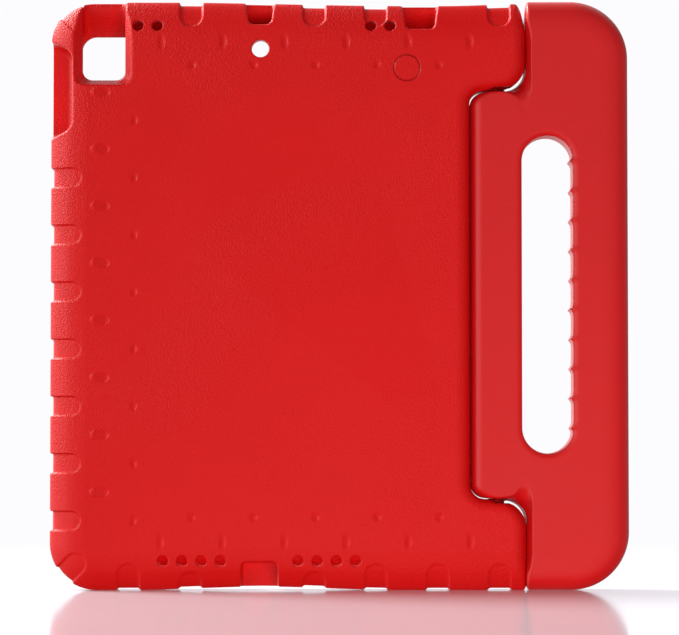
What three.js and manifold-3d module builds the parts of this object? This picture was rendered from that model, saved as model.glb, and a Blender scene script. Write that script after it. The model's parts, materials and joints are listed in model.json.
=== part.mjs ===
// Foam tablet case with a swinging carry handle that folds back to make a stand.
// Millimetres, +Z up. The case stands on its short edge with its back towards -Y and its open,
// screen side towards +Y. The origin is at the middle of the footprint, on the floor.
import * as THREE from "three";
import { mergeVertices } from "three/addons/utils/BufferGeometryUtils.js";
import Module from "manifold-3d";

const wasm = await Module();
wasm.setup();

// ---------- Driving dimensions ----------
const TABLET = { width: 174.1, height: 250.6, thickness: 7.5 };
const SNUG = 0.2; // room on each side of the tablet
const THICK = 20; // the whole case, back face to front rim
const SIDE_WALL = 10.85;
const END_WALL = 12.7;
const BACK_WALL = 7;
const LIP_THICK = 4.5; // front rim, in front of the screen
const LIP_COVER = 2.8; // how far the rim covers the tablet's border
const CORNER_R = 18.8; // outer corners of the shell
const SOFT_EDGE = { size: 13, depth: 6 }; // wide rounding of the outer edges
const BULL_NOSE = { size: 6.5, depth: 10 }; // rounding of the edges that pass each other at the hinge

const EAR = { reach: 27, length: 41.8, cornerR: 12.5, bayR: 4.5 };
const TAPER = { length: 14.4, low: 6.2, high: 7.9, bendR: 10 }; // ears' outer ends, past the footprint
const SEAM = 0.5; // gap between the handle and the shell beside the hinge
const END_SEAM = 1.0; // gap between the handle's ends and the ears
const HANDLE = {
  width: 74.3, cornerR: 27.5, notchR: 12, tongueR: 7, bendR: 8, lean: { low: 5, high: 1.7 },
};
const SLOT = { width: 24.5, height: 148.8, fromOuterEdge: 25.7, rim: 4 };
const SCALLOP = { count: 9, pitch: 13.8, depth: 0.9 };

const GROOVE = { depth: 1.2, sidePitch: 26.75, endPitch: 28.9, sideWidth: 9, endWidth: 10.4 };
const GROOVE_REACH = { side: 14.6, end: 12.4 }; // how far in from the edge a groove runs
const GROOVE_SHIFT = -3.4; // the end grooves' pattern is this far off the tablet's middle
const GROOVES = { side: [-4, -3, -2, -1, 0, 1, 2], top: [-1, 1, 2, 4], bottom: [-2, -1, 1, 2, 3, 4] };
const SPEAKERS = { r: 2.75, z: 13.6, first: 18.1, pitch: 8.93, count: 4 };
const TOP_SPEAKERS = { down: 12, places: [-57.6, -48.3, 52.4, 61.3] };
const MICROPHONE_HOLE = { r: 4.1, down: 22.9 };

// Notches in the end walls: half widths at the edge and at the flat end, and how far in they reach.
const MICROPHONE_NOTCH = { edge: 8.3, flat: 4.75, reach: 11.2, r: 2.5 };
const JACK_NOTCH = { fromTablet: 75.5, edge: 10.2, flat: 6.6, reach: 13.5, r: 2 };
const PORT_NOTCH = { edge: 8.6, flat: 8.4, reach: 13.1, r: 2 };
const VOLUME = { top: 20, reach: 9.6, outer: [-1, 44.5], inner: [3.4, 37.6], r: 3 }; // down from the top
const CAMERA = { fromLeft: [13.9, 34.3], down: 36.7, r: 5.5, slope: 3.4, slopeR: 7 };

// Oval pads: the long ones near an edge and the short ones inside it, and how far in each row is.
const PAD = { long: 4.6, slim: 2.8, short: 2.6, round: 3.1, height: 1.3, sunk: 0.5 };
const PAD_ROWS = { bottom: [22.5, 33.8], top: [19.6, 30.5], side: [23.4, 38.4] };

// Hinge pieces; the distances along them are from the ear's inner face.
const PIN = { r: 3, headR: 4.1, barbR: 5.2, rootR: 4, root: -19.5, barbs: [-15, -8], neck: 9.8, top: 13.6 };
const BUSH = { r: 5.4, flangeR: 6.6, flangeThick: 1.2, recess: 2.2, length: 16, throat: 9, room: 14.5 };
const FIT = 0.3; // clearance between separate pieces

// ---------- Worked out from them ----------
const pocketW = TABLET.width + 2 * SNUG;
const pocketH = TABLET.height + 2 * SNUG;
const shellW = pocketW + 2 * SIDE_WALL;
const height = pocketH + 2 * END_WALL;
const totalW = shellW + SEAM + HANDLE.width;
const left = -totalW / 2;
const right = totalW / 2;
const bayX = left + shellW; // shell wall that the handle closes against
const earX = bayX + EAR.reach;
const hingeX = bayX + EAR.reach / 2;
const tabletX = left + shellW / 2;
const middleZ = height / 2;
const backY = -THICK / 2;
const frontY = THICK / 2;
const pocketFloorY = backY + BACK_WALL;
const lipY = frontY - LIP_THICK;
const grooveX = (k) => tabletX + GROOVE_SHIFT + k * GROOVE.endPitch; // middle of end groove k
const PAST = 20; // how far cutters and envelopes run past the part
const ARC_STEPS = 3; // three.js doubles this on an arc

// ---------- Colours ----------
const foamRed = new THREE.MeshStandardMaterial({ color: 0xcf1f22, roughness: 0.6, metalness: 0 });
const handleRed = new THREE.MeshStandardMaterial({ color: 0xd02225, roughness: 0.5, metalness: 0 });
const nylon = new THREE.MeshStandardMaterial({ color: 0x93181a, roughness: 0.45, metalness: 0 });

// ---------- Helpers ----------
function solidOf(geometry) {
  const plain = geometry.clone();
  plain.deleteAttribute("normal");
  plain.deleteAttribute("uv");
  const merged = mergeVertices(plain, 1e-4);
  return new wasm.Manifold(
    new wasm.Mesh({
      numProp: 3,
      vertProperties: merged.attributes.position.array,
      triVerts: new Uint32Array(merged.index.array),
    }),
  );
}

function meshOf(solid, name, material) {
  const data = solid.getMesh();
  const geometry = new THREE.BufferGeometry();
  geometry.setAttribute("position", new THREE.BufferAttribute(data.vertProperties, 3));
  geometry.setIndex(new THREE.BufferAttribute(data.triVerts, 1));
  geometry.computeVertexNormals();
  const mesh = new THREE.Mesh(geometry, material);
  mesh.name = name;
  return mesh;
}

// Outline through [x, z, radius] corners; each corner is rounded with its own radius.
function roundedPath(corners, path = new THREE.Shape()) {
  const n = corners.length;
  corners.forEach(([x, z, r], i) => {
    const here = new THREE.Vector2(x, z);
    const before = new THREE.Vector2(...corners[(i + n - 1) % n].slice(0, 2)).sub(here).normalize();
    const after = new THREE.Vector2(...corners[(i + 1) % n].slice(0, 2)).sub(here).normalize();
    const half = Math.acos(THREE.MathUtils.clamp(before.dot(after), -1, 1)) / 2;
    const start = here.clone().addScaledVector(before, r / Math.tan(half));
    const end = here.clone().addScaledVector(after, r / Math.tan(half));
    if (i === 0) path.moveTo(start.x, start.y);
    else path.lineTo(start.x, start.y);
    if (r === 0) return;
    const middle = before.clone().add(after).normalize();
    const centre = here.clone().addScaledVector(middle, r / Math.sin(half));
    const from = start.clone().sub(centre).angle();
    const to = end.clone().sub(centre).angle();
    path.absarc(centre.x, centre.y, r, from, to, before.cross(after) > 0);
  });
  path.closePath();
  return path;
}

function rectangle(x0, z0, x1, z1, r, path) {
  const radii = Array.isArray(r) ? r : [r, r, r, r];
  return roundedPath([[x0, z0, radii[0]], [x1, z0, radii[1]], [x1, z1, radii[2]], [x0, z1, radii[3]]], path);
}

// Solid with the given outline in X and Z, between two depths in Y, its edges rounded by an ellipse.
function slab(shape, y0, y1, edge = null, steps = 3) {
  const geometry = new THREE.ExtrudeGeometry(shape, {
    depth: y1 - y0 - (edge ? 2 * edge.depth : 0),
    curveSegments: ARC_STEPS,
    bevelEnabled: Boolean(edge),
    bevelThickness: edge ? edge.depth : 0,
    bevelSize: edge ? edge.size : 0,
    bevelOffset: edge ? -edge.size : 0,
    bevelSegments: steps,
  });
  geometry.rotateX(Math.PI / 2);
  geometry.translate(0, y1 - (edge ? edge.depth : 0), 0);
  return solidOf(geometry);
}

// Solid of revolution about +Z from [radius, z] points, listed from the bottom up.
function turned(points, sides = 16) {
  const profile = [[0, points[0][1]], ...points, [0, points.at(-1)[1]]];
  const geometry = new THREE.LatheGeometry(profile.map((p) => new THREE.Vector2(...p)), sides);
  geometry.rotateX(Math.PI / 2);
  return solidOf(geometry);
}

// Round cutter along Y.
function drill(x, z, r, y0, y1) {
  const geometry = new THREE.CylinderGeometry(r, r, y1 - y0, 12);
  geometry.translate(x, (y0 + y1) / 2, z);
  return solidOf(geometry);
}

const join = (solids) => solids.reduce((sum, solid) => sum.add(solid));

// ---------- Shell ----------
// Ears, bay and their tapered ends; the outer edges run past the part and come from the envelope.
function shellCore() {
  const lowEar = EAR.length;
  const highEar = height - EAR.length;
  const outside = left - PAST;
  return slab(roundedPath([
    [outside, -PAST, 0],
    [earX - TAPER.low, -PAST, 0],
    [earX, TAPER.length / 2, TAPER.bendR],
    [earX, lowEar, EAR.cornerR],
    [bayX, lowEar, EAR.bayR],
    [bayX, highEar, EAR.bayR],
    [earX, highEar, EAR.cornerR],
    [earX, height - TAPER.length, TAPER.bendR],
    [earX - TAPER.high, height + PAST, 0],
    [outside, height + PAST, 0],
  ]), backY, frontY, BULL_NOSE);
}

function shellEnvelope(inset = 0, cornerR = CORNER_R) {
  const outline = rectangle(
    left + inset, inset, earX + 2 * PAST, height - inset, [cornerR, 0, 0, cornerR]);
  return slab(outline, backY + inset, frontY - inset, SOFT_EDGE);
}

// Finger-wide grooves across the outer edges, each with a round inner end.
function grooveFootprints() {
  const prism = (shape) => slab(shape, backY - 1, frontY + 1);
  const found = [];
  for (const k of GROOVES.side) {
    const z = middleZ + k * GROOVE.sidePitch;
    const half = GROOVE.sideWidth / 2;
    const reach = left + GROOVE_REACH.side;
    found.push(prism(rectangle(left - PAST, z - half, reach, z + half, [0, half - 0.1, half - 0.1, 0])));
  }
  const end = (k, top) => {
    const x = grooveX(k);
    const half = GROOVE.endWidth / 2;
    const z0 = top ? height - GROOVE_REACH.end : -PAST;
    const z1 = top ? height + PAST : GROOVE_REACH.end;
    const radii = top ? [half - 0.1, half - 0.1, 0, 0] : [0, 0, half - 0.1, half - 0.1];
    found.push(prism(rectangle(x - half, z0, x + half, z1, radii)));
  };
  GROOVES.top.forEach((k) => end(k, true));
  GROOVES.bottom.forEach((k) => end(k, false));
  for (const top of [false, true]) {
    const diagonal = prism(rectangle(-PAST, -5.5, CORNER_R - 4, 5.5, [0, 5.4, 5.4, 0]));
    const cornerZ = top ? height : 0;
    found.push(diagonal.rotate([0, top ? 45 : -45, 0]).translate([left, 0, cornerZ]));
  }
  return join(found);
}

function pocketSpace() {
  const x0 = tabletX - pocketW / 2;
  const z0 = END_WALL;
  const body = slab(
    rectangle(x0, z0, x0 + pocketW, z0 + pocketH, 10), pocketFloorY, lipY, { size: 1.5, depth: 1.5 }, 2);
  const screen = slab(
    rectangle(x0 + LIP_COVER - 2, z0 + LIP_COVER - 2, x0 + pocketW - LIP_COVER + 2,
      z0 + pocketH - LIP_COVER + 2, 8.3),
    lipY - 1, frontY + 6.5, { size: 2, depth: 5 }, 1);
  return body.add(screen);
}

// Low oval pads on the pocket floor that carry the tablet: a row of long ones near the edge,
// and a row of short ones inside it, half a pitch along.
function floorPads() {
  const pads = [];
  const oval = (x, z, rx, rz) => {
    const pad = new THREE.CylinderGeometry(1, 1.12, PAD.height, 10);
    pad.scale(rx, 1, rz);
    pad.translate(x, pocketFloorY + PAD.height / 2 - PAD.sunk, z);
    pads.push(solidOf(pad));
  };
  const [lowLong, lowShort] = PAD_ROWS.bottom;
  const [highLong, highShort] = PAD_ROWS.top.map((down) => height - down);
  for (const z of [lowLong, highLong]) {
    [-1.5, -0.5, 0.5, 1.5, 2.5].forEach((k) => oval(grooveX(k), z, PAD.slim, PAD.long));
  }
  for (const z of [lowShort, highShort]) {
    [-1, 0, 1, 2].forEach((k) => oval(grooveX(k), z, PAD.round, PAD.short));
  }
  const [sideLong, sideShort] = PAD_ROWS.side.map((inward) => left + inward);
  GROOVES.side.forEach((k, i) => {
    const z = middleZ + k * GROOVE.sidePitch;
    oval(sideShort, z, PAD.short, PAD.round);
    if (i > 0) oval(sideLong, z - GROOVE.sidePitch / 2, PAD.long, PAD.slim);
  });
  return join(pads);
}

// Openings cut from the back: they reach the pocket and leave the front rim whole.
function backOpenings() {
  const cut = (corners) => slab(roundedPath(corners), backY - 1, lipY);
  const under = (x0, z0, x1, z1) => slab(rectangle(x0, z0, x1, z1, 0), pocketFloorY, lipY);
  const notch = (x, { edge, flat, reach, r }, top) => {
    const outside = top ? height + PAST : -PAST;
    const inside = top ? height - reach : reach;
    const corners = [
      [x - edge, outside, 0], [x - flat, inside, r], [x + flat, inside, r], [x + edge, outside, 0],
    ];
    return cut(top ? corners : corners.reverse());
  };
  const pocketTop = height - END_WALL;
  const microphone = notch(tabletX, MICROPHONE_NOTCH, true).add(
    under(tabletX - MICROPHONE_NOTCH.flat, pocketTop - 2, tabletX + MICROPHONE_NOTCH.flat, pocketTop + 5));
  const jack = notch(tabletX + JACK_NOTCH.fromTablet, JACK_NOTCH, true);
  const port = notch(tabletX, PORT_NOTCH, false);
  const volumeTop = height - VOLUME.top;
  const volumeX = left + VOLUME.reach;
  const [outerTop, outerLow] = VOLUME.outer.map((down) => volumeTop - down);
  const [innerTop, innerLow] = VOLUME.inner.map((down) => volumeTop - down);
  const volume = cut([
    [left - 5, outerTop, 0], [left - 5, outerLow, 0],
    [volumeX, innerLow, VOLUME.r], [volumeX, innerTop, VOLUME.r],
  ]).add(under(volumeX - 2, innerLow + 0.6, volumeX + 3, innerTop - 0.6));
  return join([microphone, jack, port, volume]);
}

// Camera window in the corner, open to the top edge for the power button, with sloping sides.
function cameraWindow() {
  const [x0, x1] = CAMERA.fromLeft.map((inward) => left + inward);
  const z0 = height - CAMERA.down;
  const top = height + PAST;
  const hole = slab(rectangle(x0, z0, x1, top, [CAMERA.r, CAMERA.r, 0, 0]), backY - 1, lipY);
  const { slope, slopeR } = CAMERA;
  const slopes = slab(
    rectangle(x0 - slope, z0 - slope, x1 + slope, top, [slopeR, slopeR, 0, 0]),
    backY - 8, backY + 7.5, { size: slope, depth: 7.5 }, 1);
  return hole.add(slopes);
}

function speakerHoles() {
  const hole = (x, z) => drill(x, z, SPEAKERS.r, backY - 1, lipY);
  const holes = TOP_SPEAKERS.places.map((x) => hole(tabletX + x, height - TOP_SPEAKERS.down));
  for (let k = 0; k < SPEAKERS.count; k++) {
    const across = SPEAKERS.first + SPEAKERS.pitch * k;
    holes.push(hole(tabletX - across, SPEAKERS.z), hole(tabletX + across, SPEAKERS.z));
  }
  const { r, down } = MICROPHONE_HOLE;
  holes.push(drill(tabletX, height - down, r, backY - 1, pocketFloorY + 1));
  return join(holes);
}

// ---------- Hinge: one nylon bush in each ear, one barbed nylon pin in each end of the handle ----------
// Both are drawn along +Z from the ear's inner face, for the upper ear.
function bush(grow = 0) {
  const step = BUSH.recess + BUSH.flangeThick + grow;
  return turned([
    [BUSH.flangeR + grow, BUSH.recess - grow],
    [BUSH.flangeR + grow, step],
    [BUSH.r + grow, step],
    [BUSH.r + grow, BUSH.recess + BUSH.length + grow],
  ]);
}

function bushSeat() {
  const way = PIN.r + 2 * FIT;
  return bush(FIT).add(turned([[way, -2], [way, BUSH.recess + 1]]));
}

function bushBore() {
  const room = PIN.headR + 2 * FIT;
  return turned([
    [PIN.r + FIT, -1], [PIN.r + FIT, BUSH.throat], [room, BUSH.throat + 0.6], [room, BUSH.room],
  ]);
}

// A smooth neck with a rounded head that snaps into the bush, and a barbed root in the foam.
function pin(grow = 0) {
  const barb = (z) => [
    [PIN.rootR + grow, z], [PIN.barbR + grow, z + 1.6 - grow],
    [PIN.barbR + grow, z + 2.4 + grow], [PIN.rootR + grow, z + 2.8 + grow],
  ];
  return turned([
    [PIN.rootR - 1 + grow, PIN.root - grow],
    [PIN.rootR + grow, PIN.root + 2 - grow],
    ...PIN.barbs.flatMap(barb),
    [PIN.rootR + grow, -END_SEAM - 0.4],
    [PIN.r + grow, -END_SEAM],
    [PIN.r + grow, PIN.neck],
    [PIN.headR + grow, PIN.neck + 0.6],
    [PIN.headR + grow, PIN.top - 1.2 + grow],
    [PIN.r - 0.6 + grow, PIN.top + grow],
  ]);
}

// Moves a piece drawn for the upper ear to its place, or mirrors it into the lower ear.
function atEar(solid, upper) {
  if (upper) return solid.translate([hingeX, 0, height - EAR.length]);
  return solid.rotate([180, 0, 0]).translate([hingeX, 0, EAR.length]);
}

// ---------- Handle ----------
function handleOutline() {
  const x0 = bayX + SEAM;
  const head = earX + SEAM;
  const low = EAR.length + END_SEAM;
  const high = height - low;
  return roundedPath([
    [x0, low, HANDLE.tongueR],
    [head, low, HANDLE.notchR],
    [head, TAPER.length / 2, HANDLE.bendR],
    [head + HANDLE.lean.low, -PAST, 0],
    [right + PAST, -PAST, 0],
    [right + PAST, height + PAST, 0],
    [head + HANDLE.lean.high, height + PAST, 0],
    [head, height - TAPER.length, HANDLE.bendR],
    [head, high, HANDLE.notchR],
    [x0, high, HANDLE.tongueR],
  ]);
}

// Finger slot with round ends; the grip side is scalloped for the fingers.
function slotOutline() {
  const x1 = right - SLOT.fromOuterEdge;
  const r = SLOT.width / 2;
  const xMid = x1 - r;
  const zHalf = SLOT.height / 2 - r;
  const path = new THREE.Shape();
  path.moveTo(xMid - r, middleZ + zHalf);
  path.lineTo(xMid - r, middleZ - zHalf);
  path.absarc(xMid, middleZ - zHalf, r, Math.PI, 2 * Math.PI, false);
  const steps = 4 * SCALLOP.count;
  for (let i = 1; i < steps; i++) {
    const along = i / 4;
    const bulge = Math.sin(Math.PI * (along % 1));
    const z = middleZ + (along - SCALLOP.count / 2) * SCALLOP.pitch;
    path.lineTo(x1 - SCALLOP.depth * (1 - bulge), z);
  }
  path.lineTo(x1, middleZ + zHalf);
  path.absarc(xMid, middleZ + zHalf, r, 0, Math.PI, false);
  return path;
}

function handleBody() {
  const core = slab(handleOutline(), backY, frontY, BULL_NOSE);
  const r = HANDLE.cornerR;
  const outline = rectangle(bayX - PAST, 0, right, height, [0, r, r, 0]);
  const envelope = slab(outline, backY, frontY, SOFT_EDGE);
  const past = 0.6;
  const flare = { size: -SLOT.rim - past, depth: SLOT.rim + past };
  const slot = slab(slotOutline(), backY - past, frontY + past, flare);
  return core.intersect(envelope).subtract(slot);
}

// ---------- Assembly ----------
const bushSeats = join([atEar(bushSeat(), true), atEar(bushSeat(), false)]);
const pinSeats = join([atEar(pin(FIT), true), atEar(pin(FIT), false)]);

const grooves = grooveFootprints().subtract(shellEnvelope(GROOVE.depth, CORNER_R + 4));
const shell = shellCore()
  .intersect(shellEnvelope())
  .subtract(grooves)
  .subtract(pocketSpace())
  .add(floorPads())
  .subtract(backOpenings())
  .subtract(cameraWindow())
  .subtract(speakerHoles())
  .subtract(bushSeats);
const handle = handleBody().subtract(pinSeats);

const tabletCase = new THREE.Group();
tabletCase.add(meshOf(shell, "case_shell", foamRed));
tabletCase.add(meshOf(handle, "carry_handle", handleRed));
for (const [place, upper] of [["upper", true], ["lower", false]]) {
  tabletCase.add(meshOf(atEar(bush().subtract(bushBore()), upper), place + "_ear_bush", nylon));
  tabletCase.add(meshOf(atEar(pin(), upper), place + "_hinge_pin", nylon));
}

export default tabletCase;
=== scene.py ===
import json
import math

import bpy
import numpy as np
from bpy.props import FloatProperty, FloatVectorProperty, PointerProperty
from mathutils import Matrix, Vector


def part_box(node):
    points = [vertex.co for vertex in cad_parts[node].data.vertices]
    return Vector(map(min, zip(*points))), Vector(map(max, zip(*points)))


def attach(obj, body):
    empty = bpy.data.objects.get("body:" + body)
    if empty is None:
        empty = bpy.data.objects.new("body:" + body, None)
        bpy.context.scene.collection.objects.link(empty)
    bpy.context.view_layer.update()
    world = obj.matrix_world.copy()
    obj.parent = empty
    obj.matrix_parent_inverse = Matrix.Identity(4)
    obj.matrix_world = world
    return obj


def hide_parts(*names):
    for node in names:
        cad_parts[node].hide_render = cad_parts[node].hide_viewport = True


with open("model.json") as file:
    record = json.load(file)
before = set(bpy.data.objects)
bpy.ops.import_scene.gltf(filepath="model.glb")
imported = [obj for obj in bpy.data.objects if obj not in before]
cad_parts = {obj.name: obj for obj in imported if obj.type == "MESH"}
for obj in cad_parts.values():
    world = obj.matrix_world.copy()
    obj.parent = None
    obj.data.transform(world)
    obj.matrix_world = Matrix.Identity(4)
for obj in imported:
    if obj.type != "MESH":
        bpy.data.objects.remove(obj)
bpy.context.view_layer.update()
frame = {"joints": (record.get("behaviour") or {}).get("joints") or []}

bl_info = {
    "name": "Foam Tablet Case",
    "version": (1, 0, 0),
    "blender": (4, 5, 0),
    "location": "View3D > Sidebar > Tablet Case",
    "description": "Builds a foam bumper case for a tablet, with a carry handle that swings on two pins",
    "category": "Object",
}

# ---------- The frame that everything is worked out from, in metres ----------
MM = 0.001
SHELL_LOW, SHELL_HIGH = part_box("case_shell")
HANDLE_LOW, HANDLE_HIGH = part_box("carry_handle")
HINGE_X = frame["joints"][0]["pos_m"][0]
FOLD_DEG = frame["joints"][0]["range_deg"][1]
HALF_THICK = SHELL_HIGH.y
HEIGHT = SHELL_HIGH.z
MIDDLE = HEIGHT / 2
LEFT, EAR_END = SHELL_LOW.x, SHELL_HIGH.x
RIGHT = HANDLE_HIGH.x
SEAM = 0.5 * MM
BAY = HANDLE_LOW.x - SEAM
TABLET_X = (LEFT + BAY) / 2
POCKET_HALF = (87.25 * MM, 125.5 * MM)
# An outer edge and a seam edge meet in corners of this radius. The join takes a little off the faces
# that both share, so the faces start that much further out.
CORNER = 2.5 * MM
FACE = HALF_THICK + (1 - 1 / math.sqrt(2)) * CORNER
POCKET_FLOOR = -3 * MM
LIP = 5.5 * MM
END_PITCH, SIDE_PITCH = 28.9 * MM, 26.75 * MM
END_START = TABLET_X - 3.4 * MM
SIDE_START = MIDDLE + 1.2 * MM
GROOVE_REACH = 12.4 * MM
# The tongue's nose rolls in a round hollow along the bay, and the ears' noses in one along the head.
BAY_HOLLOW, HEAD_HOLLOW = 13.6 * MM, 13.9 * MM
EAR_GAP = 0.3 * MM
BOSS_RADIUS = 5.2 * MM


# ---------- Fields: negative inside the foam, zero on its skin, positive outside ----------
def round_edge(a, b, r):
    """Where both fields are negative, with the edge between them rounded: outside the corner it is
    the distance to a quarter circle of radius r that touches both."""
    return np.minimum(-r, np.maximum(a, b)) + np.hypot(np.maximum(a + r, 0), np.maximum(b + r, 0))


def round_join(a, b, r):
    """Where either field is negative, with the inner corner between them filled to radius r."""
    return -round_edge(-a, -b, r)


def cut(body, hole, r):
    """The body less the hole, with a rim of radius r."""
    return round_edge(body, -hole, r)


def grooved(body, footprints, depth, inner, rim):
    """The body with grooves of that depth: inner is the radius along a groove's floor, rim along
    its edge."""
    return round_edge(body, round_join(body + depth, -footprints, inner), rim)


def any_of(*fields):
    """Where any of the fields is negative."""
    return np.minimum.reduce(np.broadcast_arrays(*fields))


def round_box(u, v, half_u, half_v, r):
    """Distance to a rectangle whose corners have radius r: the length of what lies past its inner
    corners, less r."""
    a, b = np.abs(u) - half_u + r, np.abs(v) - half_v + r
    return np.hypot(np.maximum(a, 0), np.maximum(b, 0)) + np.minimum(np.maximum(a, b), 0) - r


def from_nearest(u, pitch, first, last):
    """How far u is from the nearest of the marks first to last, a pitch apart."""
    return u - pitch * np.clip(np.round(u / pitch), first, last)


def smooth_step(t):
    """0 below 0, 1 above 1, and 3t² - 2t³ between."""
    t = np.clip(t, 0, 1)
    return t * t * (3 - 2 * t)


def mix(a, b, share):
    """From a at a share of 0 to b at a share of 1."""
    return a + (b - a) * share


# ---------- The shell ----------
def shell_outer(x, z):
    """The left, top and bottom edges in plan. The long edges bow in a little, as soft foam does."""
    sag = 1.6 * MM * smooth_step((x + 80 * MM) / (110 * MM))
    recovery = 0.9 * MM * smooth_step((x - 50 * MM) / (35 * MM))
    top = z - HEIGHT + (0.4 * MM + sag - recovery)
    arch = 1.6 * MM * smooth_step(1 - np.abs(x - TABLET_X - 2 * MM) / (62 * MM))
    return round_edge(round_edge(LEFT - x, top, 20 * MM), arch - z, 22 * MM)


def ear_face(x):
    """How far from the middle the ears' inner faces are: they lean out a little towards the handle."""
    return 96.4 * MM + 0.12 * (x - HINGE_X)


def from_hinge(x, y):
    """Distance from the hinge's axis."""
    return np.hypot(x - HINGE_X, y)


def shell_seam(x, z):
    """The edge that faces the handle, in plan: the wall of the bay, joined to the two ears."""
    across = np.abs(z - MIDDLE)
    taper = 0.25 * np.maximum(z - HEIGHT + 14 * MM, 0)
    ear = round_edge(x - EAR_END + taper, ear_face(x) - across, 11.5 * MM)
    return round_join(x - BAY - 0.5 * MM, ear, mix(6.8 * MM, 5 * MM, smooth_step((z - MIDDLE) / (50 * MM))))


def edged(plan, y, width, depth, crown=0.0):
    """A plan given its thickness, with its edge rounded by a quarter ellipse of that width and depth."""
    return round_edge(plan * depth / width, np.abs(y) - FACE + crown, depth)


def bevelled(plan, y, width, depth, power):
    """A plan given its thickness, with a quarter superellipse for its edge: a power of 2 makes it an
    ellipse, and nearer 1 a sloping face with tight bends at its ends."""
    a, b = plan * depth / width, np.abs(y) - FACE
    outside = np.maximum(a + depth, 0) ** power + np.maximum(b + depth, 0) ** power
    return np.minimum(-depth, np.maximum(a, b)) + outside ** (1 / power)


def hinge_boss(x, y):
    """How far a shallow boss about the hinge rises: it joins the ears and the tongue like a dish."""
    return 1.3 * MM * smooth_step((BOSS_RADIUS - from_hinge(x, y)) / (3.4 * MM))


def shell_block(x, y, z):
    """The whole moulding before its hollows. The outer edges are broad and soft at the back and
    crisp at the front, the ears end in a bull nose, and the rest of the seam has a small fillet."""
    front = smooth_step((y + 1 * MM) / (6 * MM))
    outer = bevelled(shell_outer(x, z), y, mix(17.5 * MM, 3.4 * MM, front),
                     mix(7.6 * MM, 3.6 * MM, front), mix(1.45, 2, front))
    nose = smooth_step((x - EAR_END + 8 * MM) / (6 * MM))
    seam = edged(shell_seam(x, z), y, 6.5 * MM, mix(8 * MM, HALF_THICK, nose))
    across = np.abs(z - MIDDLE)
    rolled = round_edge(from_hinge(x, y) - BAY_HOLLOW, across - ear_face(x), 5 * MM)
    body = cut(round_edge(outer, seam, CORNER), rolled, 0.4 * MM)
    boss = np.maximum(from_hinge(x, y) - BOSS_RADIUS, ear_face(x) - hinge_boss(x, y) - across)
    return np.minimum(body, np.maximum(boss, across - ear_face(x) - 6 * MM))


def end_grooves(x, z, away, marks):
    """Footprints of the grooves that cross a long edge. The marks are runs of first and last groove
    with their reach from the edge."""
    past = 20 * MM
    return any_of(*(round_box(from_nearest(x - END_START, END_PITCH, first, last), away + past,
                              5.3 * MM, past + reach, 5 * MM) for first, last, reach in marks))


def crisp_grooves(x, z):
    """Footprints of the grooves that cross the left and top edges: strips with round inner ends."""
    past = 20 * MM
    side = round_box(x - LEFT + past, from_nearest(z - SIDE_START, SIDE_PITCH, -4, 2),
                     past + 14.6 * MM, 4.5 * MM, 4.4 * MM)
    runs = ((-1, -1), (1, 2), (4, 4))
    top = end_grooves(x, z, HEIGHT - z, [(*run, GROOVE_REACH) for run in runs])
    return np.minimum(side, top)


def corner_grooves(x, z):
    """Footprints of the two grooves across the left corners, at 45 degrees."""
    strips = []
    for away, offset, half in ((z, 0, 5.3 * MM), (HEIGHT - z, 3.2 * MM, 6.3 * MM)):
        along, across = (x - LEFT + away) / math.sqrt(2), (x - LEFT - away) / math.sqrt(2)
        strips.append(round_box(along, across - offset, 22.5 * MM, half, 5 * MM))
    return any_of(*strips)


def oval(u, v, half_u, half_v):
    """A dimple: a soft step inside an oval's rim, times 0.45 + 0.9 u / half_u, which is nothing at
    the near end, so that the deepest place is past the middle."""
    inside = smooth_step((1 - np.hypot(u / half_u, v / half_v)) / 0.85)
    return inside * (0.45 + 0.9 * np.clip(u / half_u, -0.5, 1))


def oval_rows(x, z):
    """The staggered rows of dimples inside the left, top and bottom edges."""
    between = from_nearest(x - END_START - END_PITCH / 2, END_PITCH, -2, 3)
    in_line = from_nearest(x - END_START, END_PITCH, -1, 3)
    rows = [oval(x + 96.7 * MM, from_nearest(z - SIDE_START, SIDE_PITCH, -4, 3), 2.7 * MM, 3.1 * MM)]
    for level in (22.6 * MM, HEIGHT - 19.8 * MM):
        rows.append(oval(between, z - level, 2.9 * MM, 4.7 * MM))
    for level in (34 * MM, HEIGHT - 30.6 * MM):
        rows.append(oval(in_line, z - level, 3.1 * MM, 2.7 * MM))
    return np.maximum.reduce(np.broadcast_arrays(*rows))


def tilted_ovals(x, z):
    """The outer column of ovals by the left edge, which stand out at their left ends and sink in at
    their right ends: from -1 to 1."""
    u, v = x + 112 * MM, from_nearest(z - SIDE_START - SIDE_PITCH / 2, SIDE_PITCH, -4, 3)
    inside = smooth_step((1 - np.hypot(u / (5 * MM), v / (2.9 * MM))) / 0.3)
    return inside * np.clip(u / (2.6 * MM), -1, 1)


def pocket(x, y, z):
    """The hollow that holds the tablet, and the window in the rim in front of it."""
    across, up = x - TABLET_X, z - MIDDLE
    floor = POCKET_FLOOR + 0.8 * MM * oval_rows(x, z)
    body = round_edge(round_box(across, up, *POCKET_HALF, 10 * MM),
                      np.maximum(floor - y, y - LIP), 1.3 * MM)
    cover, raised = 2.8 * MM, 0.9 * MM
    window = round_box(across, up - raised, POCKET_HALF[0] - cover, POCKET_HALF[1] - cover - raised, 7 * MM)
    return round_join(body, np.maximum(window, POCKET_FLOOR + 3 * MM - y), 0.8 * MM)


def notch(across, depth, half, reach, spread, r):
    """A notch in an edge: it reaches in to a flat end of half width half and spreads towards the edge."""
    return round_edge(np.abs(across) - half - spread * (reach - depth), depth - reach, r)


def rim_back(z):
    """Where the openings along the top end: at the front rim, and shallower through the end wall."""
    return LIP - 5 * MM * smooth_step((z - HEIGHT + 15 * MM) / (13 * MM))


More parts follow.
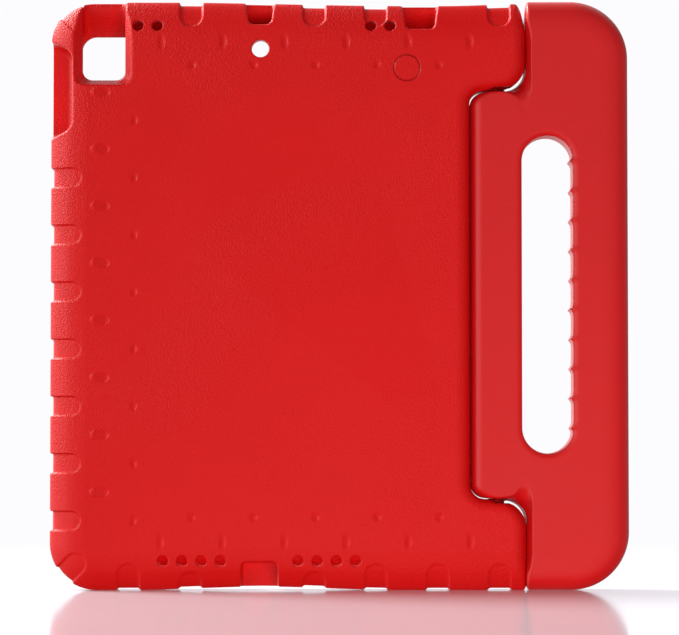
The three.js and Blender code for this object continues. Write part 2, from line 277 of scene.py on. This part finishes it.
def back_openings(x, y, z):
    """Everything cut from the back as far as the rim's inside: the notches and the button opening."""
    across, down = x - TABLET_X, HEIGHT - z
    notches = any_of(notch(across, down, 5.2 * MM, 11.4 * MM, 0.12, 2.4 * MM),
                     notch(across - 75.2 * MM, down, 6.6 * MM, 13.6 * MM, 0.13, 2 * MM),
                     notch(across, z, 8.3 * MM, 13.2 * MM, 0.02, 2.2 * MM))
    buttons = notch(down - 42.2 * MM, x - LEFT, 18.4 * MM, 10.1 * MM, 0.42, 4 * MM)
    return np.minimum(round_edge(notches, y - rim_back(z), 1.2 * MM),
                      round_edge(buttons, y - LIP - 0.5 * MM, 3.4 * MM))


def camera_window(x, y, z):
    """The camera's window, open to the top edge for the power button. Its sides slope, so it is wider
    at the back."""
    sill = HEIGHT - 36.9 * MM
    left = LEFT + 14.8 * MM - np.clip(5.5 * MM - HALF_THICK - y, 0, 6 * MM) * 0.8
    right = LEFT + 34.9 * MM + np.clip(3.2 * MM - HALF_THICK - y, 0, 4 * MM)
    low = 3.2 * MM * np.clip((POCKET_FLOOR - y) / (7 * MM), 0, 1.4)
    top = HEIGHT + 20 * MM
    hole = round_box(x - (left + right) / 2, z - (sill - low + top) / 2,
                     (right - left) / 2, (top - sill + low) / 2, 4.6 * MM)
    return round_edge(hole, y - rim_back(z), 3 * MM)


def small_holes(x, y, z):
    """Speaker holes in the two end walls and the microphone hole through the back."""
    across = x - TABLET_X
    bottom = from_nearest(np.abs(across) - 18.1 * MM, 8.95 * MM, 0, 3)
    rows = [np.hypot(bottom, z - 13.7 * MM) - 2.45 * MM]
    for middle in (-52.6 * MM, 56.6 * MM):
        rows.append(np.hypot(np.abs(across - middle) - 4.5 * MM, z - HEIGHT + 12 * MM) - 2.5 * MM)
    blind = np.maximum(any_of(*rows), y - LIP)
    microphone = np.hypot(across - 0.3 * MM, z - HEIGHT + 22.9 * MM) - 4.1 * MM
    return np.minimum(blind, np.maximum(microphone, y - 1 * MM))


def bush_seats(x, y, z):
    """Round seats for the bushes, and the way in for the pins."""
    around = from_hinge(x, y)
    seats = []
    for name in ("upper_ear_bush", "lower_ear_bush"):
        low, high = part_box(name)
        middle, half = (low.z + high.z) / 2, (high.z - low.z) / 2
        seats.append(np.maximum(around - 5.7 * MM, np.abs(z - middle) - half - 0.3 * MM))
        inner = low.z if low.z > MIDDLE else high.z
        seats.append(np.maximum(around - 6.9 * MM, np.abs(z - inner) - 1.5 * MM))
        seats.append(np.maximum(around - 3.6 * MM, np.abs(z - inner) - 6 * MM))
    return any_of(*seats)


def shell_field(x, y, z):
    """The finished shell moulding."""
    body = shell_block(x, y, z)
    depth = mix(1.05 * MM, 0.7 * MM, smooth_step(y / (4 * MM) + 2.2))
    body = grooved(body, crisp_grooves(x, z), depth, 0.45 * MM, 0.45 * MM)
    full, short = GROOVE_REACH, 8.6 * MM
    below = end_grooves(x, z, z, ((-2, -2, full), (-1, -1, short), (1, 1, short), (2, 4, full)))
    depth = mix(0.38 * MM, 0.95 * MM, smooth_step((y + 3 * MM) / (9 * MM)))
    body = grooved(body, below, depth, 1 * MM, 0.7 * MM)
    body = grooved(body, corner_grooves(x, z), 0.4 * MM, 1 * MM, 0.6 * MM)
    back = smooth_step(0.5 - y / (4 * MM))
    body = body + (1.25 * MM * oval_rows(x, z) + 0.65 * MM * tilted_ovals(x, z)) * back
    body = cut(body, pocket(x, y, z), 2.6 * MM)
    rim = mix(0.9 * MM, 0.3 * MM, smooth_step(y / (4 * MM)))
    body = cut(body, back_openings(x, y, z), rim)
    body = cut(body, camera_window(x, y, z), rim)
    body = cut(body, small_holes(x, y, z), 0.6 * MM)
    return cut(body, bush_seats(x, y, z), 0.3 * MM)


# ---------- The handle ----------
def handle_outer(x, z):
    """The outer edges in plan."""
    return round_edge(round_edge(x - RIGHT, z - HEIGHT, 27 * MM), -z, 27.2 * MM)


def handle_seam(x, z):
    """The edge that faces the shell: the head, joined to the tongue between the ears."""
    across = np.abs(z - MIDDLE)
    taper = 0.04 * np.maximum(z - HEIGHT + 14 * MM, 0)
    head = EAR_END - 0.7 * MM + taper - x
    tongue = round_edge(HANDLE_LOW.x - x, across - ear_face(x) + EAR_GAP, 6 * MM)
    return round_join(head, tongue, 8.5 * MM)


def finger_slot(x, z):
    """The slot in plan: a stadium, with ridges between the fingers on the grip's side."""
    half_width, half_height = 11.9 * MM, 74.4 * MM
    middle = RIGHT - 26.3 * MM - half_width
    up = z - MIDDLE
    stadium = round_box(x - middle, up, half_width, half_height, half_width - 0.01 * MM)
    pitch = 13.9 * MM
    ridge = (1 - np.abs(np.sin(np.pi * (up / pitch - 0.5)))) ** 4
    near = smooth_step((x - middle) / (6 * MM)) * smooth_step((67 * MM - np.abs(up)) / (1 * MM))
    return stadium + 1.7 * MM * ridge * near


def pin_seats(x, y, z):
    """Round seats for the pins' barbed roots."""
    inside = np.abs(z - MIDDLE) - ear_face(HINGE_X) + 19.8 * MM
    return np.maximum(from_hinge(x, y) - 5.3 * MM, -inside)


def folded_shell(x, y, z):
    """The shell as the handle meets it on its way to fully folded back: its blocks at four steps of
    the swing, seen from the handle."""
    across = x - HINGE_X
    blocks = []
    for turn in np.radians((70, 90, 103, FOLD_DEG)):
        blocks.append(shell_block(HINGE_X + across * np.cos(turn) + y * np.sin(turn),
                                  y * np.cos(turn) - across * np.sin(turn), z))
    return any_of(*blocks)


def handle_field(x, y, z):
    """The finished handle moulding: broad soft outer edges, a bull nose on the tongue's edge, which
    rolls in the shell's bay, and small fillets on the rest of the seam. Near the ears a relief lets
    it fold back past the shell."""
    crown = 0.5 * MM * smooth_step(1 - (x - BAY) / (74 * MM))
    outer = edged(handle_outer(x, z), y, 14 * MM, 9 * MM, crown)
    nose = smooth_step((HINGE_X - 2 * MM - x) / (8 * MM))
    seam = edged(handle_seam(x, z), y, mix(2.2 * MM, 6.5 * MM, nose),
                 mix(4.5 * MM, HALF_THICK, nose), crown)
    across = np.abs(z - MIDDLE)
    rolled = round_edge(from_hinge(x, y) - HEAD_HOLLOW, ear_face(x) - EAR_GAP - across, 8.5 * MM)
    body = cut(round_edge(outer, seam, CORNER), rolled, 0.4 * MM)
    dish = np.maximum(from_hinge(x, y) - BOSS_RADIUS - 0.2 * MM,
                      ear_face(x) - EAR_GAP - hinge_boss(x, y) - across)
    body = np.maximum(body, -dish)
    relief = round_edge(folded_shell(x, y, z) - 0.25 * MM, ear_face(x) - 15 * MM - across, 5 * MM)
    body = cut(body, relief, 0.5 * MM)
    body = cut(body, np.broadcast_arrays(finger_slot(x, z), y)[0], 3.2 * MM)
    return cut(body, pin_seats(x, y, z), 0.3 * MM)


# ---------- Meshes ----------
def surface_net(field, low, high, step):
    """Points and four-sided faces of the surface where the field is zero, on a grid of that step.
    Each cell that the surface crosses gets one point, the mean of the crossings on its edges, and
    each grid edge that it crosses gets one face, between the four cells around the edge."""
    axes = [np.arange(a - 2 * step, b + 3 * step, step) for a, b in zip(low, high)]
    values = field(*np.meshgrid(*axes, indexing="ij", sparse=True))
    shape = values.shape
    strides = np.array([shape[1] * shape[2], shape[2], 1])
    owners, crossings, faces = [], [], []
    for axis in range(3):
        start = np.moveaxis(values, axis, 0)[:-1]
        end = np.moveaxis(values, axis, 0)[1:]
        crossed = (start < 0) != (end < 0)
        index = np.argwhere(crossed)
        first, second = start[crossed], end[crossed]
        order = [axis] + [i for i in range(3) if i != axis]
        cell = np.empty_like(index)
        cell[:, order] = index
        point = cell.astype(float)
        point[:, axis] += first / (first - second)
        u, v = (axis + 1) % 3, (axis + 2) % 3
        here = cell @ strides
        around = np.stack([here - strides[u] - strides[v], here - strides[v], here, here - strides[u]], 1)
        owners.append(around.ravel())
        crossings.append(np.repeat(point, 4, axis=0))
        faces.append(np.where((first < 0)[:, None], around, around[:, ::-1]))
    cells, owner = np.unique(np.concatenate(owners), return_inverse=True)
    crossings = np.concatenate(crossings)
    count = np.bincount(owner)
    points = np.stack([np.bincount(owner, crossings[:, i]) / count for i in range(3)], 1)
    points = points * step + np.array([a[0] for a in axes])
    return points, np.searchsorted(cells, np.concatenate(faces))


def slope(field, points, reach=0.02 * MM):
    """The field and its gradient at each point, by differences over a short reach each way."""
    x, y, z = points.T
    parts = [
        field(x + reach, y, z) - field(x - reach, y, z),
        field(x, y + reach, z) - field(x, y - reach, z),
        field(x, y, z + reach) - field(x, y, z - reach),
    ]
    return field(x, y, z), np.stack(parts, 1) / (2 * reach)


def settle(field, points, rounds=3):
    """Moves points onto the surface: each round steps along the gradient by the field over the
    gradient's length, at most 0.4 mm."""
    for _ in range(rounds):
        value, gradient = slope(field, points)
        steep = np.sum(gradient**2, 1).clip(0.05)
        move = gradient * (value / steep)[:, None]
        length = np.linalg.norm(move, axis=1).clip(1e-9)
        points = points - move * np.minimum(1, 0.4 * MM / length)[:, None]
    gradient = slope(field, points)[1]
    return points, gradient / np.linalg.norm(gradient, axis=1).clip(1e-9)[:, None]


def mesh_of(name, points, faces):
    """A mesh from arrays of points and of faces with equal numbers of corners."""
    mesh = bpy.data.meshes.new(name)
    mesh.vertices.add(len(points))
    mesh.vertices.foreach_set("co", points.astype(np.float32).ravel())
    mesh.loops.add(faces.size)
    mesh.loops.foreach_set("vertex_index", faces.astype(np.int32).ravel())
    mesh.polygons.add(len(faces))
    mesh.polygons.foreach_set("loop_start", np.arange(len(faces), dtype=np.int32) * faces.shape[1])
    mesh.update(calc_edges=True)
    return mesh


def add_object(name, mesh, material):
    """A new object in the scene, with its mesh and material."""
    piece = bpy.data.objects.new(name, mesh)
    bpy.context.scene.collection.objects.link(piece)
    mesh.materials.append(material)
    return piece


def thinned(mesh, triangles):
    """The mesh collapsed to about that many triangles, most of all where it is flat."""
    draft = bpy.data.objects.new("draft", mesh)
    bpy.context.scene.collection.objects.link(draft)
    collapse = draft.modifiers.new("collapse", "DECIMATE")
    collapse.ratio = min(1.0, triangles / (2 * len(mesh.polygons)))
    collapse.use_collapse_triangulate = True
    evaluated = draft.evaluated_get(bpy.context.evaluated_depsgraph_get())
    made = bpy.data.meshes.new_from_object(evaluated)
    bpy.data.objects.remove(draft)
    bpy.data.meshes.remove(mesh)
    return made


def moulding(name, field, low, high, step, triangles, material):
    """A closed moulding: the field's surface net, thinned, settled on the exact surface and shaded
    with the field's own normals."""
    mesh = thinned(mesh_of(name, *surface_net(field, low, high, step)), triangles)
    mesh.name = name
    points = np.empty(len(mesh.vertices) * 3, np.float32)
    mesh.vertices.foreach_get("co", points)
    points, normals = settle(field, points.reshape(-1, 3).astype(float))
    mesh.vertices.foreach_set("co", points.astype(np.float32).ravel())
    mesh.update()
    mesh.shade_smooth()
    mesh.normals_split_custom_set_from_vertices(normals.astype(np.float32))
    return add_object(name, mesh, material)


def turned(name, profile, start, upward, material, sides=72):
    """A surface of revolution about the hinge: the profile's points of radius and distance from
    start, carried round a circle, upward or downward. Its first and last points close it with flat
    discs, and its edges are eased."""
    radius, along = np.array(profile).T * MM
    angle = np.linspace(0, 2 * np.pi, sides, endpoint=False)
    rings, height = radius[:, None], (start + upward * along)[:, None]
    points = np.stack(np.broadcast_arrays(
        HINGE_X + rings * np.cos(angle), rings * np.sin(angle), height), -1).reshape(-1, 3)
    here = (np.arange(len(radius) - 1)[:, None] * sides + np.arange(sides)).ravel()
    there = (np.arange(len(radius) - 1)[:, None] * sides + np.roll(np.arange(sides), -1)).ravel()
    faces = np.stack([here, there, there + sides, here + sides], 1)
    ends = [list(range(sides))[::-1], list(range(len(points) - sides, len(points)))]
    faces = faces.tolist() + ends
    mesh = bpy.data.meshes.new(name)
    mesh.from_pydata(points.tolist(), [], faces if upward > 0 else [f[::-1] for f in faces])
    mesh.shade_smooth()
    piece = add_object(name, mesh, material)
    eased = piece.modifiers.new("eased edges", "BEVEL")
    eased.width, eased.segments, eased.harden_normals = 0.18 * MM, 2, True
    eased.limit_method, eased.angle_limit = "ANGLE", math.radians(20)
    return piece


# ---------- Materials ----------
class Wire:
    """A socket that takes part in arithmetic: an expression on wires adds its Math nodes."""

    def __init__(self, paint, socket):
        self.paint, self.socket = paint, socket

    def _math(self, operation, first, second):
        return self.paint.node("ShaderNodeMath", {"operation": operation}, first, second)

    def __add__(self, other):
        return self._math("ADD", self, other)

    def __sub__(self, other):
        return self._math("SUBTRACT", self, other)

    def __truediv__(self, other):
        return self._math("DIVIDE", self, other)

    def __rsub__(self, other):
        return self._math("SUBTRACT", other, self)

    def __mul__(self, other):
        return self._math("MULTIPLY", self, other)

    def __pow__(self, other):
        return self._math("POWER", self, other)

    def __rpow__(self, other):
        return self._math("POWER", other, self)

    __radd__, __rmul__ = __add__, __mul__


class Paint:
    """A node tree under construction. node() adds any node: its settings, then its inputs in order
    or by name, each a value or a wire. It returns the first output, or the named one."""

    def __init__(self, tree):
        self.tree = tree
        tree.nodes.clear()

    def node(self, kind, settings, *inputs, output=0, **named):
        """Add a node and join up its inputs."""
        made = self.tree.nodes.new(kind)
        for key, value in settings.items():
            setattr(made, key, value)
        pairs = list(zip(made.inputs, inputs))
        known = {socket.identifier: socket for socket in made.inputs}
        for key, value in named.items():
            pairs.append((known.get(key) or made.inputs[key.replace("_", " ")], value))
        for socket, value in pairs:
            if isinstance(value, Wire):
                self.tree.links.new(value.socket, socket)
            elif value is not None:
                socket.default_value = value
        return Wire(self, made.outputs[output]) if made.outputs else None

    def ramp(self, factor, stops):
        """A colour ramp with the given stops of position and colour."""
        made = self.tree.nodes.new("ShaderNodeValToRGB")
        elements = made.color_ramp.elements
        while len(elements) < len(stops):
            elements.new(0.5)
        for element, (position, colour) in zip(elements, stops):
            element.position, element.color = position, colour
        self.tree.links.new(factor.socket, made.inputs[0])
        return Wire(self, made.outputs[0])

    def split(self, vector):
        """The x, y and z of a vector."""
        return [self.node("ShaderNodeSeparateXYZ", {}, vector, output=axis) for axis in "XYZ"]


def new_paint(name):
    """A new material and the paint that builds its nodes."""
    material = bpy.data.materials.new(name)
    material.use_nodes = True
    return material, Paint(material.node_tree)


def toned(colour, share, lift=0.0):
    """The colour with its red, green and blue times share, plus lift, and at most 1."""
    return tuple(min(1, c * share + lift) for c in colour[:3]) + (1,)


def gate_ring(paint, place, gate):
    """The thin ring that the mould's gate left on the back, from 0 to 1: a bell curve across the
    distance from a circle. It cuts the ring's groove into the bump and sets the painted shade in the
    groove's colour. gate is the circle's x, z and radius."""
    right, back, up = paint.split(place)
    out = ((right - gate[0]) ** 2.0 + (up - gate[1]) ** 2.0) ** 0.5
    outside = paint.node("ShaderNodeMath", {"operation": "LESS_THAN"}, back, POCKET_FLOOR - 2 * MM)
    return 2.718 ** (0 - ((out - gate[2]) / (0.3 * MM)) ** 2.0) * outside


def foam(name, colour, grain, grain_depth, uneven, roughness, ior, gate=None):
    """Moulded closed-cell foam: a pebbled skin of the given grain size and depth, which fades in
    patches to the share of its depth that uneven gives, with painted shade that darkens its valleys,
    faint cloudy colour and a satin finish that varies from place to place. gate places the gate's
    ring, if any, with painted shade darkening its groove."""
    material, paint = new_paint(name)
    place = paint.node("ShaderNodeTexCoord", {}, output="Object")
    pebbles = paint.node("ShaderNodeTexVoronoi", {"feature": "SMOOTH_F1"}, Vector=place,
                         Scale=1 / grain, Smoothness=0.6, Randomness=0.9)
    fine = paint.node("ShaderNodeTexNoise", {}, Vector=place, Scale=2.2 / grain, Detail=2.0)
    clouds = paint.node("ShaderNodeTexNoise", {}, Vector=place, Scale=28.0, Detail=3.0)
    patches = paint.node("ShaderNodeTexNoise", {}, Vector=place, Scale=13.0, Detail=2.0)
    strength = paint.ramp(patches, [(0.44, (uneven, uneven, uneven, 1)), (0.6, (1, 1, 1, 1))])
    height = ((1 - pebbles) * 0.8 + fine * 0.35) * strength
    # Colour: random cloudy tone, plus painted shade that darkens the grain's valleys and low spots as the
    # bump falls.
    tint = paint.ramp((1 - pebbles) * 0.5 + fine * 0.2 + clouds * 0.4,
                      [(0.32, toned(colour, 0.93)), (0.75, toned(colour, 1.03, 0.001))])
    if gate:
        ring = gate_ring(paint, place, gate)
        height = height - ring * 1.4
        # Painted shade: the gate ring's groove is darkened in colour as well as cut into the bump.
        tint = paint.node("ShaderNodeMix", {"data_type": "RGBA"}, output=2, Factor_Float=ring * 0.5,
                          A_Color=tint, B_Color=toned(colour, 0.4))
    bump = paint.node("ShaderNodeBump", {}, Strength=1.0, Distance=grain_depth, Height=height)
    shade = paint.node("ShaderNodeBsdfPrincipled", {}, Base_Color=tint,
                       Roughness=clouds * 0.12 + fine * 0.1 + (roughness - 0.11), Normal=bump, IOR=ior)
    paint.node("ShaderNodeOutputMaterial", {}, shade)
    return material


def nylon(name, colour):
    """Moulded nylon with a faint flow pattern."""
    material, paint = new_paint(name)
    place = paint.node("ShaderNodeTexCoord", {}, output="Object")
    flow = paint.node("ShaderNodeTexNoise", {}, Vector=place, Scale=600.0, Detail=3.0)
    tint = paint.ramp(flow, [(0.3, tuple(colour)), (0.7, toned(colour, 1.5))])
    bump = paint.node("ShaderNodeBump", {}, Strength=0.4, Distance=0.05 * MM, Height=flow)
    shade = paint.node("ShaderNodeBsdfPrincipled", {}, Base_Color=tint, Roughness=flow * 0.2 + 0.35,
                       Normal=bump)
    paint.node("ShaderNodeOutputMaterial", {}, shade)
    return material


# ---------- Settings ----------
class CaseSettings(bpy.types.PropertyGroup):
    """Sizes and colours of the case."""

    shell_step: FloatProperty(
        name="Shell Detail", description="Grid step that the shell's surface is found on",
        default=0.65 * MM, min=0.4 * MM, unit="LENGTH")
    handle_step: FloatProperty(
        name="Handle Detail", description="Grid step that the handle's surface is found on",
        default=0.8 * MM, min=0.4 * MM, unit="LENGTH")
    shell_grain: FloatProperty(
        name="Shell Grain", description="Size of the pebbles in the shell's skin",
        default=0.8 * MM, unit="LENGTH")
    handle_grain: FloatProperty(
        name="Handle Grain", description="Size of the pebbles in the handle's smoother skin",
        default=0.7 * MM, unit="LENGTH")
    shell_colour: FloatVectorProperty(
        name="Shell Colour", description="Colour of the shell's foam",
        default=(0.66, 0.003, 0.003, 1), size=4, subtype="COLOR", min=0, max=1)
    handle_colour: FloatVectorProperty(
        name="Handle Colour", description="Colour of the handle's foam",
        default=(0.7, 0.004, 0.005, 1), size=4, subtype="COLOR", min=0, max=1)
    pin_colour: FloatVectorProperty(
        name="Hinge Colour", description="Colour of the nylon hinge pieces",
        default=(0.30, 0.004, 0.006, 1), size=4, subtype="COLOR", min=0, max=1)


class StageSettings(bpy.types.PropertyGroup):
    """The camera: its distance, view and pitch."""

    distance: FloatProperty(
        name="Camera Distance", description="From the camera to the back of the case",
        default=1.45, unit="LENGTH")
    view_width: FloatProperty(
        name="View Width", description="How much of the case's plane the picture takes in",
        default=0.3167, unit="LENGTH")
    view_height: FloatProperty(
        name="View Centre", description="Height of the middle of the picture above the floor",
        default=0.1272, unit="LENGTH")
    pitch: FloatProperty(
        name="Camera Pitch", description="How far the camera looks up",
        default=math.radians(2.5), unit="ROTATION")


# ---------- Operators ----------
class CASE_OT_shell(bpy.types.Operator):
    """Build the shell moulding, with its grooves, openings, pocket and ears"""

    bl_idname = "tablet_case.shell"
    bl_label = "Shell"

    def execute(self, context):
        s = context.scene.tablet_case
        skin = foam("shell foam", s.shell_colour, s.shell_grain, 0.32 * MM, 0.3, 0.42, 1.45,
                    gate=(31.7 * MM, HEIGHT - 32 * MM, 6.1 * MM))
        piece = moulding("foam_shell", shell_field, SHELL_LOW, SHELL_HIGH, s.shell_step, 195000, skin)
        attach(piece, "shell")
        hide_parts("case_shell")
        return {"FINISHED"}


class CASE_OT_handle(bpy.types.Operator):
    """Build the handle moulding, with its finger slot and tongue"""

    bl_idname = "tablet_case.handle"
    bl_label = "Handle"

    def execute(self, context):
        s = context.scene.tablet_case
        skin = foam("handle foam", s.handle_colour, s.handle_grain, 0.08 * MM, 0.4, 0.42, 1.7)
        piece = moulding("foam_handle", handle_field, HANDLE_LOW, HANDLE_HIGH, s.handle_step, 120000, skin)
        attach(piece, "handle")
        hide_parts("carry_handle")
        return {"FINISHED"}


class CASE_OT_hinge(bpy.types.Operator):
    """Build the nylon bushes in the ears and the barbed pins in the tongue"""

    bl_idname = "tablet_case.hinge"
    bl_label = "Hinge Bushes and Pins"

    # Radius and distance out from the ear's face, in mm.
    bush_profile = ((0.4, 14.5), (4.7, 14.5), (4.7, 9.6), (3.3, 9.0), (3.3, 2.2), (6.6, 2.2), (6.6, 3.4),
                    (5.4, 3.4), (5.4, 18.2), (0.4, 18.2))
    pin_profile = ((0.4, -19.5), (3, -19.5), (4, -17.5), (4, -15), (5.2, -13.4), (5.2, -12.6), (4, -12.2),
                   (4, -8), (5.2, -6.4), (5.2, -5.6), (4, -5.2), (4, -1.4), (3, -1), (3, 9.8),
                   (4.1, 10.4), (4.1, 12.4), (2.4, 13.6), (0.4, 13.6))

    def execute(self, context):
        finish = nylon("hinge nylon", context.scene.tablet_case.pin_colour)
        face = ear_face(HINGE_X)
        for end, start, upward in (("upper", MIDDLE + face, 1), ("lower", MIDDLE - face, -1)):
            for kind, body, profile in (("ear_bush", "shell", self.bush_profile),
                                        ("hinge_pin", "handle", self.pin_profile)):
                node = end + "_" + kind
                piece = turned("nylon_" + node, profile, start, upward, finish)
                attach(piece, body)
                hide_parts(node)
        return {"FINISHED"}


class CASE_OT_stage(bpy.types.Operator):
    """Set up the floor, the light and the camera"""

    bl_idname = "tablet_case.stage"
    bl_label = "Stage"

    def execute(self, context):
        floor = make_floor()
        make_world(context.scene)
        make_lights(context.scene, floor)
        make_camera(context.scene)
        return {"FINISHED"}


# ---------- Stage ----------
def make_floor():
    """A glossy pale floor, half plain white and half soft mirror, which gives way to the backdrop
    some way behind the case. It lights nothing itself."""
    material, paint = new_paint("stage floor")
    plain = paint.node("ShaderNodeBsdfDiffuse", {}, Color=(0.66, 0.65, 0.69, 1))
    mirror = paint.node("ShaderNodeBsdfGlossy", {}, Color=(0.97, 0.96, 1, 1), Roughness=0.09)
    both = paint.node("ShaderNodeMixShader", {}, 0.53, plain, mirror)
    place = paint.node("ShaderNodeTexCoord", {}, output="Object")
    behind = paint.node("ShaderNodeSeparateXYZ", {}, place, output="Y")
    gone = paint.ramp(behind * 0.8, [(0.0, (0, 0, 0, 1)), (0.6, (1, 1, 1, 1))])
    clear = paint.node("ShaderNodeBsdfTransparent", {})
    paint.node("ShaderNodeOutputMaterial", {}, paint.node("ShaderNodeMixShader", {}, gone, both, clear))
    half = 3.0
    corners = np.array([(-half, -half, 0), (half, -half, 0), (half, half, 0), (-half, half, 0)])
    floor = add_object("stage_floor", mesh_of("stage_floor", corners, np.array([[0, 1, 2, 3]])), material)
    floor.visible_diffuse = floor.visible_glossy = floor.visible_shadow = False
    return floor


def make_world(scene):
    """A white studio: bright behind the case and to its left, dim in front, to the right and below.
    What the camera sees of it directly is plain white."""
    world = bpy.data.worlds.new("studio")
    scene.world = world
    world.use_nodes = True
    paint = Paint(world.node_tree)
    way = paint.node("ShaderNodeTexCoord", {}, output="Generated")
    right, back, up = paint.split(way)
    black, white = (0, 0, 0, 1), (1, 1, 1, 1)
    behind = paint.ramp(back * 0.5 + 0.5, [(0.5, black), (0.75, white)])
    flag = paint.ramp(right - up * 0.6, [(0.14, white), (0.34, (0.16, 0.16, 0.16, 1))])
    left = paint.ramp(0.5 - right * 0.5, [(0.62, black), (0.9, white)])
    above = paint.ramp(up * 0.5 + 0.5, [(0.15, (0.2, 0.2, 0.2, 1)), (0.4, white)])
    front = paint.ramp(right * 0.5 + 0.5, [
        (0.5, (0.25, 0.25, 0.25, 1)), (0.62, (0.32, 0.32, 0.32, 1)), (0.74, (0.3, 0.3, 0.3, 1)),
        (0.92, (0.16, 0.16, 0.16, 1))])
    ceiling = paint.ramp(up * 0.5 + 0.5, [(0.6, (1, 1, 1, 1)), (0.8, (0.4, 0.4, 0.4, 1))])
    level = ((front + left * 0.95) * ceiling + behind * flag * 0.95) * above
    seen = paint.node("ShaderNodeLightPath", {}, output="Is Camera Ray")
    light = paint.node("ShaderNodeBackground", {}, Color=(1, 0.99, 1, 1), Strength=level)
    plain = paint.node("ShaderNodeBackground", {}, Color=(0.975, 0.972, 1.0, 1), Strength=1.0)
    both = paint.node("ShaderNodeMixShader", {}, seen, light, plain)
    paint.node("ShaderNodeOutputWorld", {}, both)
    scene.view_settings.view_transform = "Standard"


def add_light(scene, name, place, size, power, shines):
    """A square soft box at place, turned to the middle of the case. One that doesn't shine lights
    surfaces without showing in their gloss."""
    lamp = bpy.data.lights.new(name, "AREA")
    lamp.size, lamp.energy = size, power
    holder = bpy.data.objects.new(name, lamp)
    scene.collection.objects.link(holder)
    holder.location = place
    aim = Vector((0, 0, MIDDLE)) - Vector(place)
    holder.rotation_euler = aim.to_track_quat("-Z", "Y").to_euler()
    holder.visible_glossy = shines
    holder.visible_camera = False
    return holder


def skip(light, *objects):
    """Keep a light off some objects, as a flag on a stand does."""
    skipped = bpy.data.collections.new(light.name + " skips")
    light.light_linking.receiver_collection = skipped
    for ob in objects:
        skipped.objects.link(ob)
    for entry in skipped.collection_objects:
        entry.light_linking.link_state = "EXCLUDE"


def make_lights(scene, floor):
    """Two soft boxes that show in the gloss, and a broad fill at floor level. The left one is flagged
    off the handle and the fill off the floor."""
    add_light(scene, "rim_softbox", (-1.3, 0.6, 1.6), 0.9, 62, True)
    left = add_light(scene, "left_softbox", (-1.7, -0.5, 0.9), 0.8, 15, True)
    fill = add_light(scene, "low_fill_softbox", (0.15, -0.78, -0.16), 0.6, 5.4, False)
    skip(left, bpy.data.objects["foam_handle"])
    skip(fill, floor)


def make_camera(scene):
    """The camera behind the case, which looks up a little at the middle of its view."""
    s = scene.tablet_case_stage
    lens = bpy.data.cameras.new("camera")
    holder = bpy.data.objects.new("camera", lens)
    scene.collection.objects.link(holder)
    lens.sensor_width = 36.0
    lens.sensor_fit = "HORIZONTAL"
    lens.lens = lens.sensor_width * s.distance / s.view_width
    lens.clip_end = 50.0
    holder.location = (0, -HALF_THICK - s.distance, s.view_height - s.distance * math.tan(s.pitch))
    holder.rotation_euler = (math.pi / 2 + s.pitch, 0, 0)
    scene.camera = holder


class CASE_PT_panel(bpy.types.Panel):
    """Lists the pieces and their settings"""

    bl_label = "Tablet Case"
    bl_idname = "CASE_PT_panel"
    bl_space_type = "VIEW_3D"
    bl_region_type = "UI"
    bl_category = "Tablet Case"

    def draw(self, context):
        for group in (context.scene.tablet_case, context.scene.tablet_case_stage):
            for name in group.__annotations__:
                self.layout.prop(group, name)
        for operator in OPERATORS:
            self.layout.operator(operator.bl_idname)


OPERATORS = (CASE_OT_shell, CASE_OT_handle, CASE_OT_hinge, CASE_OT_stage)
CLASSES = (CaseSettings, StageSettings, *OPERATORS, CASE_PT_panel)


def register():
    """Make the settings, the operators and the panel known to Blender."""
    for made in CLASSES:
        bpy.utils.register_class(made)
    bpy.types.Scene.tablet_case = PointerProperty(type=CaseSettings)
    bpy.types.Scene.tablet_case_stage = PointerProperty(type=StageSettings)


def unregister():
    """Take them away again."""
    del bpy.types.Scene.tablet_case_stage
    del bpy.types.Scene.tablet_case
    for made in reversed(CLASSES):
        bpy.utils.unregister_class(made)


def main():
    """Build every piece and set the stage."""
    register()
    bpy.ops.tablet_case.shell()
    bpy.ops.tablet_case.handle()
    bpy.ops.tablet_case.hinge()
    bpy.ops.tablet_case.stage()


if __name__ == "__main__":
    main()
